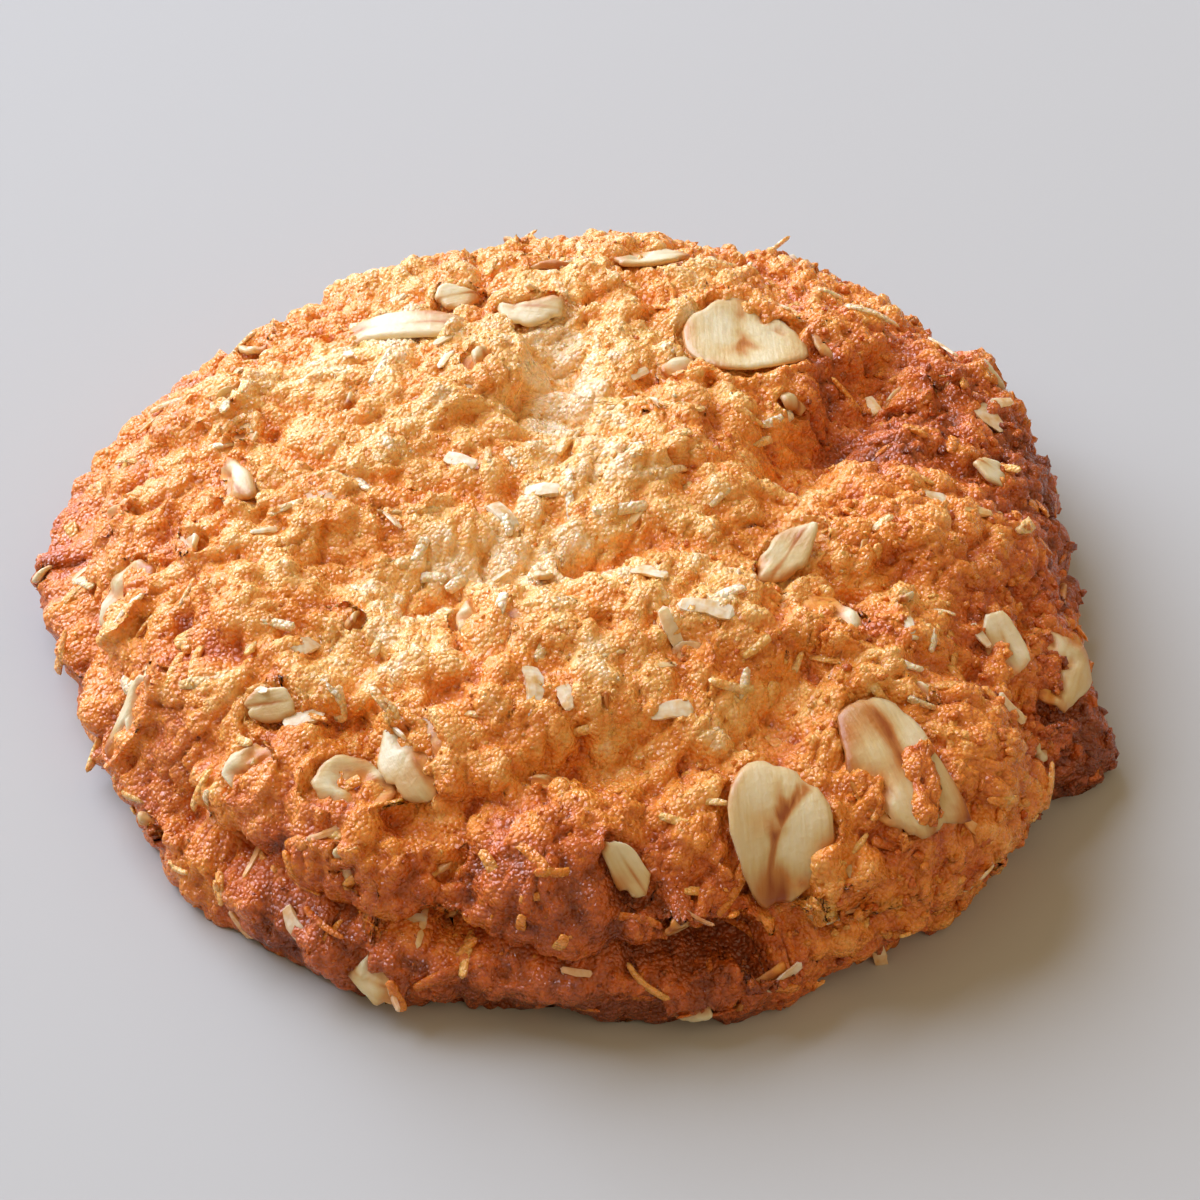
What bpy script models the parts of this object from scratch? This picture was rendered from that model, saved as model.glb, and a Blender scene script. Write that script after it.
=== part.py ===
"""An anzac biscuit: one mound of oat and coconut dough, cracked and browned in baking.

The dough is a form over a disc. A place on its crust is a direction in degrees (0 is +X,
90 is +Y) and a reach, from 0 at the middle of the top to 1 at the foot. Lumps, folds and
cobbles push the smooth form in and out along its normals. Rolled oat flakes and shreds of
coconut are then fused into it, and the underside is cut flat where it lay on the tray.

Lengths are millimetres, turned into metres where a mesh is filled.
"""

import itertools
import math

import bmesh
import bpy
import numpy as np
from mathutils import Matrix, Vector
from mathutils.bvhtree import BVHTree

MM = 0.001

# Smooth mound
HEIGHT = 15.2  # top of the smooth mound
WAIST = 3.5  # height at which it is widest
FOOT_TUCK = 1.8  # how far the foot draws in under the waist
FOOT_DEPTH = 1.0  # the dough is carried this far down before the flat cut
SHOULDER, BROW = 2.4, 2.2  # exponents of the superellipse in radius and in height
# Radii every 22.5 degrees from +X: the mound's outline, and that of the thin skirt under it
MOUND_RADII = (33.9, 34.6, 34.3, 33.8, 31.9, 30.7, 30.2, 31.7, 31.0, 31.2, 33.2, 34.9, 36.2, 36.9, 38.0, 36.0)
SKIRT_RADII = (33.9, 34.6, 34.3, 33.8, 32.0, 31.0, 31.2, 33.4, 34.3, 33.2, 34.8, 36.4, 37.1, 37.8, 37.0, 35.6)

# The seam where the mound slumped over its skirt at the front
SEAM_HEIGHT, SEAM_WIDTH, SEAM_DEPTH = 5.6, 0.9, 1.7
SEAM_MIDDLE, SEAM_HALF = -95.0, 48.0  # its direction, and how far it runs to each side

GRID = 84  # cells along each side of the square that becomes the crust
TRIANGLES = 7000  # the dough is thinned to about this many before the toppings go on

# (direction, reach, radius, height)
LUMPS = (
    (147, 0.25, 7.5, 1.5),
    (70, 0.35, 7.5, 1.1),
    (-11, 0.19, 7.0, 1.4),
    (-16, 0.53, 6.0, 1.6),
    (-148, 0.57, 8.0, 1.3),
    (-105, 0.45, 5.0, 1.0),
    (-75, 0.32, 5.0, 0.9),
    (-56, 0.45, 5.0, 1.4),
    (-38, 0.56, 4.5, 1.2),
    (-90, 0.49, 3.8, 1.4),
    (-89, 0.72, 4.6, 2.4),
    (-115, 0.73, 6.0, 1.4),
    (-51, 0.76, 6.0, 1.6),
    (-40, 0.74, 3.6, 1.4),
    (-24, 0.96, 4.2, 4.2),
    (25, 0.68, 5.0, 1.0),
    (-176, 0.75, 5.0, 0.6),
    (112, 0.62, 6.0, 0.4),
)
# (direction, reach) of one end, (direction, reach) of the other, width, depth
FOLDS = (
    ((101, 0.09), (90, 0.29), 2.4, 2.2),
    ((67, 0.31), (48, 0.38), 2.0, 1.0),
    ((24, 0.54), (-3, 0.35), 2.6, 2.6),
    ((-127, 0.29), (-75, 0.22), 2.4, 1.6),
    ((-145, 0.41), (-121, 0.35), 2.2, 1.4),
    ((-133, 0.50), (-118, 0.53), 2.0, 1.4),
    ((-54, 0.52), (-63, 0.54), 2.2, 1.8),
    ((-118, 0.61), (-106, 0.66), 2.0, 1.8),
    ((-89, 0.57), (-81, 0.55), 1.9, 1.9),
    ((-38, 0.42), (-26, 0.54), 2.0, 1.4),
    ((-17, 0.74), (-29, 0.76), 2.0, 1.5),
    ((-30, 0.84), (-29, 0.97), 1.8, 2.0),
    ((-103, 0.70), (-100, 0.82), 1.8, 1.3),
)
# Rounded cobbles all over the crust: (cell size, height)
COBBLES = ((5.2, 1.2), (2.7, 0.85))
WARP_SIZE, WARP = 6.0, 1.3  # what bends the cobbles out of their regular cells

OAT_THICKNESS = 0.75
SHRED_THICKNESS = 0.55
# Oats that show whole: (direction, reach) of one end, of the other, width, lean in degrees
OATS = (
    ((-62, 0.60), (-67, 0.80), 6.5, 0),
    ((-48, 0.60), (-52, 0.82), 5.3, 0),
    ((33, 0.33), (54, 0.47), 8.0, 0),
    ((136, 0.52), (117, 0.38), 3.4, -25),
    ((-43, 0.37), (-23, 0.38), 3.0, 0),
    ((-164, 0.83), (-167, 0.70), 5.0, 15),
    ((-149, 0.87), (-148, 0.71), 3.5, 15),
    ((-134, 0.65), (-128, 0.59), 2.4, 0),
    ((-119, 0.73), (-111, 0.63), 4.6, 10),
    ((-129, 0.77), (-125, 0.68), 3.8, 0),
    ((-114, 0.54), (-104, 0.64), 4.6, 20),
    ((-85, 0.67), (-81, 0.75), 2.4, 0),
    ((-79, 0.77), (-74, 0.83), 2.6, 20),
    ((-22, 0.65), (-27, 0.73), 3.0, 45),
    ((-14, 0.83), (-27, 0.80), 4.5, 50),
    ((-17, 0.93), (-28, 0.96), 5.0, 70),
    ((176, 0.55), (-168, 0.51), 2.8, 20),
    ((106, 0.41), (88, 0.36), 3.4, 10),
    ((82, 0.53), (70, 0.60), 4.4, 15),
    ((116, 0.50), (106, 0.49), 2.8, 10),
    ((7, 0.63), (4, 0.70), 2.4, 20),
    ((-110, 0.88), (-104, 0.88), 2.4, 20),
)
# The three largest were torn as they were stirred in: reach at sixteen even turns from the far
# end, where 1 would be an oval
TORN = {
    0: (0.98, 0.90, 0.93, 1.02, 1.01, 1.01, 0.91, 0.91, 0.94, 1.08, 1.10, 1.05, 0.97, 0.90, 0.95, 1.08),
    1: (1.00, 1.00, 1.40, 1.05, 0.86, 0.93, 1.00, 1.02, 1.02, 1.08, 1.24, 1.20, 1.34, 1.28, 1.12, 1.08),
    2: (1.03, 0.95, 0.88, 1.00, 1.02, 1.09, 1.12, 1.10, 1.00, 0.93, 1.05, 1.13, 1.10, 0.95, 0.88, 0.87),
}
STREWN_OATS, SHORTEST_OAT, LONGEST_OAT = 24, 5.5, 9.0
STREWN_SHREDS = 32
SEED = 11


def lattice(corner, seed):
    """A repeatable number from 0 to 1 for each whole-numbered corner, by mixing its bits."""
    mixed = corner @ np.array((374761393, 668265263, 1274126177)) + seed * 974634777
    mixed &= 0xFFFFFFFF
    mixed = ((mixed ^ (mixed >> 13)) * 1274126177) & 0xFFFFFFFF
    return ((mixed ^ (mixed >> 16)) & 0xFFFFFF) / 0xFFFFFF


def waves(points, size, seed):
    """Smooth noise from -1 to 1: slopes drawn at the corners of cubes, blended between them."""
    scaled = points / size
    base = np.floor(scaled).astype(np.int64)
    inside = scaled - base
    blend = inside**3 * (inside * (inside * 6 - 15) + 10)
    total = np.zeros(len(points))
    for offset in itertools.product((0, 1), repeat=3):
        slope = np.stack([lattice(base + offset, seed + axis) for axis in range(3)], 1) * 2 - 1
        weight = np.prod(np.where(offset, blend, 1 - blend), axis=1)
        total += weight * ((inside - offset) * slope).sum(1)
    return total * 1.3


def cells(points, size, seed):
    """Distance from each point to the nearest of one random point per cube, in cube sizes."""
    scaled = points / size
    base = np.floor(scaled).astype(np.int64)
    nearest = np.full(len(points), 9.0)
    for offset in itertools.product((-1, 0, 1), repeat=3):
        corner = base + offset
        middle = corner + np.stack([lattice(corner, seed + axis) for axis in range(3)], 1)
        nearest = np.minimum(nearest, np.linalg.norm(middle - scaled, axis=1))
    return nearest


def outline(radii, angle):
    """The smooth closed curve through evenly spaced radii, as a Fourier series."""
    series = np.fft.rfft(radii) / len(radii)
    series[1:-1] *= 2
    turns = np.arange(len(series))
    return (series * np.exp(1j * np.outer(angle, turns))).real.sum(1)


def meridian():
    """Reach, share of the radius and height along the mound's profile, top to foot."""
    turn = np.linspace(0, math.pi / 2, 200)
    over = np.stack([np.sin(turn) ** (2 / SHOULDER), WAIST + (HEIGHT - WAIST) * np.cos(turn) ** (2 / BROW)], 1)
    drop = np.linspace(0, 1, 40)[1:]
    mean = np.mean(MOUND_RADII)
    under = np.stack([1 - FOOT_TUCK / mean * drop**2, WAIST - (WAIST + FOOT_DEPTH) * drop], 1)
    profile = np.concatenate([over, under])
    steps = np.hypot(np.diff(profile[:, 0]) * mean, np.diff(profile[:, 1]))
    reach = np.concatenate([[0], np.cumsum(steps)])
    return reach / reach[-1], profile[:, 0], profile[:, 1]


def form(angle, reach):
    """Points of the smooth dough: mound above, skirt below, and the seam between them."""
    along, share, heights = meridian()
    height = np.interp(reach, along, heights)
    mound, skirt = outline(MOUND_RADII, angle), outline(SKIRT_RADII, angle)
    lower = np.clip((SEAM_HEIGHT - height) / 1.5, 0, 1)
    radius = np.interp(reach, along, share) * (mound + (skirt - mound) * lower * lower * (3 - 2 * lower))
    away = (angle - math.radians(SEAM_MIDDLE) + math.pi) % (2 * math.pi) - math.pi
    there = np.clip((math.radians(SEAM_HALF) - abs(away)) / 0.35, 0, 1)
    radius -= SEAM_DEPTH * there * np.exp(-(((height - SEAM_HEIGHT) / SEAM_WIDTH) ** 2))
    return np.stack([radius * np.cos(angle), radius * np.sin(angle), height], 1)


def place(direction, reach):
    """The point of the smooth dough at one place."""
    return form(np.array([math.radians(direction)]), np.array([reach]))[0]


def distance_to_run(points, start, end):
    """Distance from each point to the straight run between two others."""
    run = end - start
    share = np.clip((points - start) @ run / max(run @ run, 1e-9), 0, 1)
    return np.linalg.norm(points - start - share[:, None] * run, axis=1)


def relief(points):
    """How far the crust stands out of the smooth form at each of its points."""
    out = np.zeros(len(points))
    for direction, reach, radius, height in LUMPS:
        away = np.linalg.norm(points - place(direction, reach), axis=1)
        out += height * np.exp(-((away / radius) ** 2))
    for start, end, width, depth in FOLDS:
        away = distance_to_run(points, place(*start), place(*end))
        out -= depth * np.exp(-((away / width) ** 2))
    bent = points + WARP * np.stack([waves(points, WARP_SIZE, SEED + axis) for axis in range(3)], 1)
    for size, height in COBBLES:
        out += height * (0.45 - 1.3 * cells(bent, size, SEED) ** 2)
    return out


def disc(square):
    """Takes the square from -1 to 1 to the unit disc, each square ring to a round one."""
    x, y = square.T
    ring = np.maximum(abs(x), abs(y))
    safe = np.where(ring > 0, ring, 1)
    wide = abs(x) >= abs(y)
    turn = np.where(wide, y / safe * np.sign(x), 2 * np.sign(y) - x / safe * np.sign(y)) * math.pi / 4
    angle = turn + np.where(wide & (x < 0), math.pi, 0)
    return angle, ring


def read(mesh, name, what):
    """All values of one field of a mesh, as rows of three."""
    values = np.empty(len(getattr(mesh, name)) * 3, np.float32)
    getattr(mesh, name).foreach_get(what, values)
    return values.reshape(-1, 3).astype(float)


def fill(mesh, points):
    mesh.vertices.foreach_set("co", (points * MM).astype(np.float32).ravel())
    mesh.update()


def clear_scene():
    for obj in list(bpy.data.objects):
        bpy.data.objects.remove(obj, do_unlink=True)


def material(name, colour, roughness):
    made = bpy.data.materials.new(name)
    made.use_nodes = True
    shader = made.node_tree.nodes["Principled BSDF"]
    shader.inputs["Base Color"].default_value = (*colour, 1)
    shader.inputs["Roughness"].default_value = roughness
    shader.inputs["Metallic"].default_value = 0.0
    return made


def new_object(name, shape, collection):
    """Makes an object of the bmesh and frees it."""
    mesh = bpy.data.meshes.new(name)
    shape.to_mesh(mesh)
    shape.free()
    made = bpy.data.objects.new(name, mesh)
    collection.objects.link(made)
    return made


def make_dough(collection):
    """The mound: a grid wrapped over the form, closed underneath and pushed out into relief."""
    shape = bmesh.new()
    bmesh.ops.create_grid(shape, x_segments=GRID, y_segments=GRID, size=1)
    dough = new_object("biscuit", shape, collection)
    angle, ring = disc(read(dough.data, "vertices", "co")[:, :2])
    points = form(angle, 1.1 * ring - 0.1 * ring**6)
    fill(dough.data, points)
    normals = read(dough.data, "vertex_normals", "vector")
    fill(dough.data, points + normals * relief(points)[:, None])
    shape = bmesh.new()
    shape.from_mesh(dough.data)
    rim = [edge for edge in shape.edges if edge.is_boundary]
    bmesh.ops.edgeloop_fill(shape, edges=rim)
    bmesh.ops.recalc_face_normals(shape, faces=shape.faces)
    shape.to_mesh(dough.data)
    shape.free()
    return dough


def seat(tree, start, end, lean, sink):
    """The matrix that lays a piece on the crust between two points, leaning over its long side."""
    ends = [Vector(point * MM) for point in (start, end)]
    spot, normal, _, _ = tree.find_nearest((ends[0] + ends[1]) / 2)
    along = ends[1] - ends[0]
    along = (along - along.dot(normal) * normal).normalized()
    across = normal.cross(along)
    turned = Matrix((along, across, normal)).transposed().to_4x4()
    return Matrix.Translation(spot - normal * sink * MM) @ turned @ Matrix.Rotation(math.radians(lean), 4, "X")


def make_oat(name, length, width, draw, collection, torn=None):
    """A rolled oat flake: a flattened ball with an uneven or a torn outline, a little cupped."""
    shape = bmesh.new()
    bmesh.ops.create_uvsphere(shape, u_segments=16 if torn else 12, v_segments=3, radius=1)
    oat = new_object(name, shape, collection)
    ball = read(oat.data, "vertices", "co")
    angle = np.arctan2(ball[:, 1], ball[:, 0])
    uneven = 1 + 0.07 * np.sin(2 * angle + draw.uniform(0, 6)) + 0.05 * np.sin(5 * angle + draw.uniform(0, 6))
    if torn:
        uneven = np.interp(angle % (2 * math.pi), np.linspace(0, 2 * math.pi, 17), [*torn, torn[0]])
    spread = np.hypot(ball[:, 0], ball[:, 1]) ** 0.35 * uneven
    flake = np.stack([spread * np.cos(angle) * length / 2, spread * np.sin(angle) * width / 2], 1)
    cupped = draw.uniform(-0.012, 0.018) * flake[:, 1] ** 2 + draw.uniform(-0.01, 0.01) * flake[:, 0] ** 2
    fill(oat.data, np.column_stack([flake, cupped + ball[:, 2] * OAT_THICKNESS / 2]))
    return oat


def make_shred(name, length, width, draw, collection):
    """A shred of coconut: a thin bar, narrower at one end."""
    shape = bmesh.new()
    bmesh.ops.create_cube(shape, size=1)
    shred = new_object(name, shape, collection)
    bar = read(shred.data, "vertices", "co")
    taper = 1 - draw.uniform(0, 0.5) * (bar[:, 0] + 0.5)
    fill(shred.data, bar * (length, width, SHRED_THICKNESS) * np.stack([np.ones(8), taper, np.ones(8)], 1))
    return shred


def scattered(count, seed, least, most):
    """Directions and reaches spread by the golden angle and nudged, and four more draws for each."""
    draws = np.random.default_rng(seed).uniform(0, 1, (count, 6))
    index = np.arange(count)
    reaches = np.sqrt(least**2 + (most**2 - least**2) * (index + draws[:, 0]) / count)
    return zip(index * 137.5 + 36 * (draws[:, 1] - 0.5), reaches, draws[:, 2:])


def strewn(direction, reach, turn, length):
    """The two ends of a piece laid level over a place, turned by a share of a full circle."""
    way = math.radians(direction + 360 * turn)
    step = length / 2 * np.array([math.cos(way), math.sin(way), 0])
    return place(direction, reach) - step, place(direction, reach) + step


def oat_rows():
    """Ends, width and lean of every oat: the named ones, and strewn ones that lie clear of them."""
    rows = [(place(*start), place(*end), width, lean) for start, end, width, lean in OATS]
    named = [(start + end) / 2 for start, end, width, lean in rows]
    for direction, reach, (size, girth, turn, lean) in scattered(STREWN_OATS, SEED, 0.15, 0.93):
        length = SHORTEST_OAT + (LONGEST_OAT - SHORTEST_OAT) * size
        middle = place(direction, reach)
        if all(np.linalg.norm(middle - other) > 2 + length / 2 for other in named):
            rows.append((*strewn(direction, reach, turn, length), length * (0.5 + 0.2 * girth), 24 * lean - 12))
    return rows


def make_toppings(tree, collection):
    """Every oat and shred, half sunk where it lies on the dough."""
    draw = np.random.default_rng(SEED)
    for index, (start, end, width, lean) in enumerate(oat_rows()):
        length = float(np.linalg.norm(end - start))
        oat = make_oat(f"oat_{index}", length, width, draw, collection, TORN.get(index))
        oat.matrix_world = seat(tree, start, end, lean, 0.1)
    strewn_shreds = scattered(STREWN_SHREDS, SEED + 2, 0.08, 0.95)
    for index, (direction, reach, (size, girth, turn, lean)) in enumerate(strewn_shreds):
        shred = make_shred(f"shred_{index}", 2.2 + 2 * size, 0.7 + 0.5 * girth, draw, collection)
        shred.matrix_world = seat(tree, *strewn(direction, reach, turn, 3), 40 * lean - 20, 0.05)


def apply_modifiers(obj):
    bpy.context.view_layer.update()
    graph = bpy.context.evaluated_depsgraph_get()
    bare, obj.data = obj.data, bpy.data.meshes.new_from_object(obj.evaluated_get(graph))
    obj.modifiers.clear()
    bpy.data.meshes.remove(bare)


def thin_out(dough):
    """Keeps triangles where the crust bends and drops them where it is nearly flat."""
    dough.data.calc_loop_triangles()
    thin = dough.modifiers.new("thin", "DECIMATE")
    thin.ratio = TRIANGLES / len(dough.data.loop_triangles)
    apply_modifiers(dough)


def fuse(dough, toppings):
    """Joins the toppings to the dough, then removes them."""
    union = dough.modifiers.new("fuse toppings", "BOOLEAN")
    union.operation, union.operand_type, union.solver = "UNION", "COLLECTION", "MANIFOLD"
    union.collection = toppings
    apply_modifiers(dough)
    for topping in list(toppings.objects):
        bpy.data.objects.remove(topping, do_unlink=True)
    bpy.data.collections.remove(toppings)


def drop_scraps(shape):
    """Keeps the largest surface, so a hollow sealed in by the union fills and a loose scrap goes."""
    waiting, islands = set(shape.verts), []
    while waiting:
        island, edge_of_island = set(), [waiting.pop()]
        while edge_of_island:
            vertex = edge_of_island.pop()
            island.add(vertex)
            touching = {edge.other_vert(vertex) for edge in vertex.link_edges} & waiting
            waiting -= touching
            edge_of_island.extend(touching)
        islands.append(island)
    islands.sort(key=len)
    scraps = [vertex for island in islands[:-1] for vertex in island]
    bmesh.ops.delete(shape, geom=scraps, context="VERTS")


def cut_flat(dough):
    """Cuts away what lies under the tray's surface and closes the underside with flat faces."""
    shape = bmesh.new()
    shape.from_mesh(dough.data)
    drop_scraps(shape)
    everything = shape.verts[:] + shape.edges[:] + shape.faces[:]
    bmesh.ops.bisect_plane(shape, geom=everything, plane_co=(0, 0, 0), plane_no=(0, 0, 1), clear_inner=True)
    rim = [edge for edge in shape.edges if edge.is_boundary]
    bmesh.ops.holes_fill(shape, edges=rim)
    bmesh.ops.triangulate(shape, faces=[face for face in shape.faces if len(face.verts) > 4])
    shape.to_mesh(dough.data)
    shape.free()


def main():
    clear_scene()
    collection = bpy.data.collections.new("anzac_biscuit")
    toppings = bpy.data.collections.new("toppings")
    for made in (collection, toppings):
        bpy.context.scene.collection.children.link(made)
    dough = make_dough(collection)
    thin_out(dough)
    tree = BVHTree.FromObject(dough, bpy.context.evaluated_depsgraph_get())
    make_toppings(tree, toppings)
    fuse(dough, toppings)
    cut_flat(dough)
    dough.data.materials.clear()
    dough.data.materials.append(material("baked dough", (0.58, 0.23, 0.06), 0.55))
    dough.data.shade_smooth()
    dough.data.set_sharp_from_angle(angle=math.radians(50))


main()
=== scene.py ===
# %% [markdown]
# # An anzac biscuit
# An anzac biscuit is rolled oats, shredded coconut, flour, butter and golden syrup, pressed into
# a ball and baked until it slumps, cracks and browns. Nothing in it is regular, so almost
# everything here is a rule with seeded noise. The crust is one surface worked out on a grid.
# Oat flakes, coconut shreds and loose crumb are small closed shapes that are repeated over it.
# All lengths are millimetres until a mesh is filled, because an oat flake is easier to picture
# as 9 than as 0.009.

# %% The frame
import itertools
import math

import bpy
import numpy as np
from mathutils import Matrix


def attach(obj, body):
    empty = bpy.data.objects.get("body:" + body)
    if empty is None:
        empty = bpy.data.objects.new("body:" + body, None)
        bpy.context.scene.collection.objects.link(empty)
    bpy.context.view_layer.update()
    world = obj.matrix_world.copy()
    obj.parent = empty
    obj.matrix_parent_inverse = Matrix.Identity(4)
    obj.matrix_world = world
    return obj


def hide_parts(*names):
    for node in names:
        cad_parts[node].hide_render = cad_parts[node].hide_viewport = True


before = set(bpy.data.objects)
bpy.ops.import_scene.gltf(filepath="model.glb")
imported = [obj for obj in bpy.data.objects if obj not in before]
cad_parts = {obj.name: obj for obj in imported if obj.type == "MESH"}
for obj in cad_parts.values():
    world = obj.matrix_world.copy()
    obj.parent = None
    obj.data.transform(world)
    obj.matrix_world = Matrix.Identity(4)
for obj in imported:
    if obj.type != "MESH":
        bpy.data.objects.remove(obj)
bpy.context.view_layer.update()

MM = 0.001
SEED = 11

# %% [markdown]
# ## The camera
# The biscuit is seen from 43 degrees above the table by a long lens, which flattens it: near and
# far rims are drawn almost to the same scale. A long lens is placed by turning a target, a
# distance and a height angle into a position, so that the three can be read and changed.

# %% The camera
ELEVATION, DISTANCE, LENS = math.radians(43), 300.0, 133.2
TARGET = np.array([2.7, 0.9, 1.0])


def add_camera():
    """Stands DISTANCE back from TARGET along a ray that climbs at ELEVATION, and looks down it."""
    data = bpy.data.cameras.new("camera")
    data.lens, data.sensor_width = LENS, 36
    data.clip_start, data.clip_end = 0.01, 10
    camera = bpy.data.objects.new("camera", data)
    camera.location = (TARGET + DISTANCE * np.array([0, -math.cos(ELEVATION), math.sin(ELEVATION)])) * MM
    camera.rotation_euler = (math.pi / 2 - ELEVATION, 0, 0)
    bpy.context.scene.collection.objects.link(camera)
    bpy.context.scene.camera = camera
    return camera


print("camera at, mm:", [round(value / MM) for value in add_camera().location])

# %% [markdown]
# ## Noise
# Dough is lumpy at every scale. Two kinds of noise cover it. Waves are smooth and rise and fall
# evenly, which suits slow change such as browning. Cells are the distance to the nearest of many
# scattered points: turned upside down they are a heap of round cobbles with sharp valleys
# between, which is what crumbly dough looks like.

# %% Noise
def lattice(corner, seed):
    """A repeatable number from 0 to 1 for each whole-numbered corner, by mixing its bits."""
    mixed = corner @ np.array((374761393, 668265263, 1274126177)) + seed * 974634777
    mixed &= 0xFFFFFFFF
    mixed = ((mixed ^ (mixed >> 13)) * 1274126177) & 0xFFFFFFFF
    return ((mixed ^ (mixed >> 16)) & 0xFFFFFF) / 0xFFFFFF


def waves(points, size, seed):
    """Smooth noise from -1 to 1: slopes drawn at the corners of cubes, blended between them."""
    scaled = points / size
    base = np.floor(scaled).astype(np.int64)
    inside = scaled - base
    blend = inside**3 * (inside * (inside * 6 - 15) + 10)
    total = np.zeros(len(points))
    for offset in itertools.product((0, 1), repeat=3):
        slope = np.stack([lattice(base + offset, seed + axis) for axis in range(3)], 1) * 2 - 1
        weight = np.prod(np.where(offset, blend, 1 - blend), axis=1)
        total += weight * ((inside - offset) * slope).sum(1)
    return total * 1.3


def two_cells(points, size, seed):
    """Distances from each point to the nearest two of one random point per cube, in cube sizes."""
    scaled = points / size
    base = np.floor(scaled).astype(np.int64)
    nearest, second = np.full(len(points), 9.0), np.full(len(points), 9.0)
    for offset in itertools.product((-1, 0, 1), repeat=3):
        corner = base + offset
        middle = corner + np.stack([lattice(corner, seed + axis) for axis in range(3)], 1)
        away = np.linalg.norm(middle - scaled, axis=1)
        second = np.minimum(second, np.maximum(nearest, away))
        nearest = np.minimum(nearest, away)
    return nearest, second


sample = np.random.default_rng(SEED).uniform(0, 40, (2000, 3))
print("waves from", waves(sample, 3, 1).min().round(2), "to", waves(sample, 3, 1).max().round(2))

# %% [markdown]
# ## The smooth mound
# A baked ball of dough is a low dome with a full shoulder, widest a few millimetres above the
# tray and drawn in a little at its foot. A superellipse gives that shoulder, and one Fourier
# series of sixteen radii gives the uneven round outline. At the front the mound has slumped over
# a thin skirt of dough, with a seam between the two. A place on it is a direction in degrees and
# a reach, which is the distance walked from the middle of the top, 1 at the foot.

# %% The smooth mound
HEIGHT, WAIST = 15.2, 3.5
FOOT_TUCK, FOOT_DEPTH = 1.8, 1.0
SHOULDER, BROW = 2.4, 2.2
MOUND_RADII = (33.9, 34.6, 34.3, 33.8, 31.9, 30.7, 30.2, 31.7, 31.0, 31.2, 33.2, 34.9, 36.2, 36.9, 38.0, 36.0)
SKIRT_RADII = (33.9, 34.6, 34.3, 33.8, 32.0, 31.0, 31.2, 33.4, 34.3, 33.2, 34.8, 36.4, 37.1, 37.8, 37.0, 35.6)
SEAM_HEIGHT, SEAM_WIDTH, SEAM_DEPTH = 5.6, 0.9, 2.6
SEAM_MIDDLE, SEAM_HALF = -95.0, 48.0


def outline(radii, angle):
    """The smooth closed curve through evenly spaced radii, as a Fourier series."""
    series = np.fft.rfft(radii) / len(radii)
    series[1:-1] *= 2
    turns = np.arange(len(series))
    return (series * np.exp(1j * np.outer(angle, turns))).real.sum(1)


def meridian():
    """Reach, share of the radius and height along the mound's profile, top to foot."""
    turn = np.linspace(0, math.pi / 2, 200)
    rise = WAIST + (HEIGHT - WAIST) * np.cos(turn) ** (2 / BROW)
    over = np.stack([np.sin(turn) ** (2 / SHOULDER), rise], 1)
    drop = np.linspace(0, 1, 40)[1:]
    mean = np.mean(MOUND_RADII)
    under = np.stack([1 - FOOT_TUCK / mean * drop**2, WAIST - (WAIST + FOOT_DEPTH) * drop], 1)
    profile = np.concatenate([over, under])
    steps = np.hypot(np.diff(profile[:, 0]) * mean, np.diff(profile[:, 1]))
    reach = np.concatenate([[0], np.cumsum(steps)])
    return reach / reach[-1], profile[:, 0], profile[:, 1]


def form(angle, reach):
    """Points of the smooth dough: mound above, skirt below, and the seam between them."""
    along, share, heights = meridian()
    height = np.interp(reach, along, heights)
    mound, skirt = outline(MOUND_RADII, angle), outline(SKIRT_RADII, angle)
    lower = np.clip((SEAM_HEIGHT - height) / 1.5, 0, 1)
    radius = np.interp(reach, along, share) * (mound + (skirt - mound) * lower * lower * (3 - 2 * lower))
    away = (angle - math.radians(SEAM_MIDDLE) + math.pi) % (2 * math.pi) - math.pi
    there = np.clip((math.radians(SEAM_HALF) - abs(away)) / 0.35, 0, 1)
    radius -= SEAM_DEPTH * there * np.exp(-(((height - SEAM_HEIGHT) / SEAM_WIDTH) ** 2))
    return np.stack([radius * np.cos(angle), radius * np.sin(angle), height], 1)


def place(direction, reach):
    """The point of the smooth dough at one place."""
    return form(np.array([math.radians(direction)]), np.array([reach]))[0]


print("front and right of the foot, mm:", place(-90, 1).round(1), place(0, 1).round(1))

# %% [markdown]
# ## Lumps, folds and cobbles
# Each lump is a soft hill at one place, and each fold a groove between two. Cobbles are cell
# noise at two sizes, bent by waves so that no row of them shows. These are the forms one could
# feel with a finger, and they are the same ones that the solid has.

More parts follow.
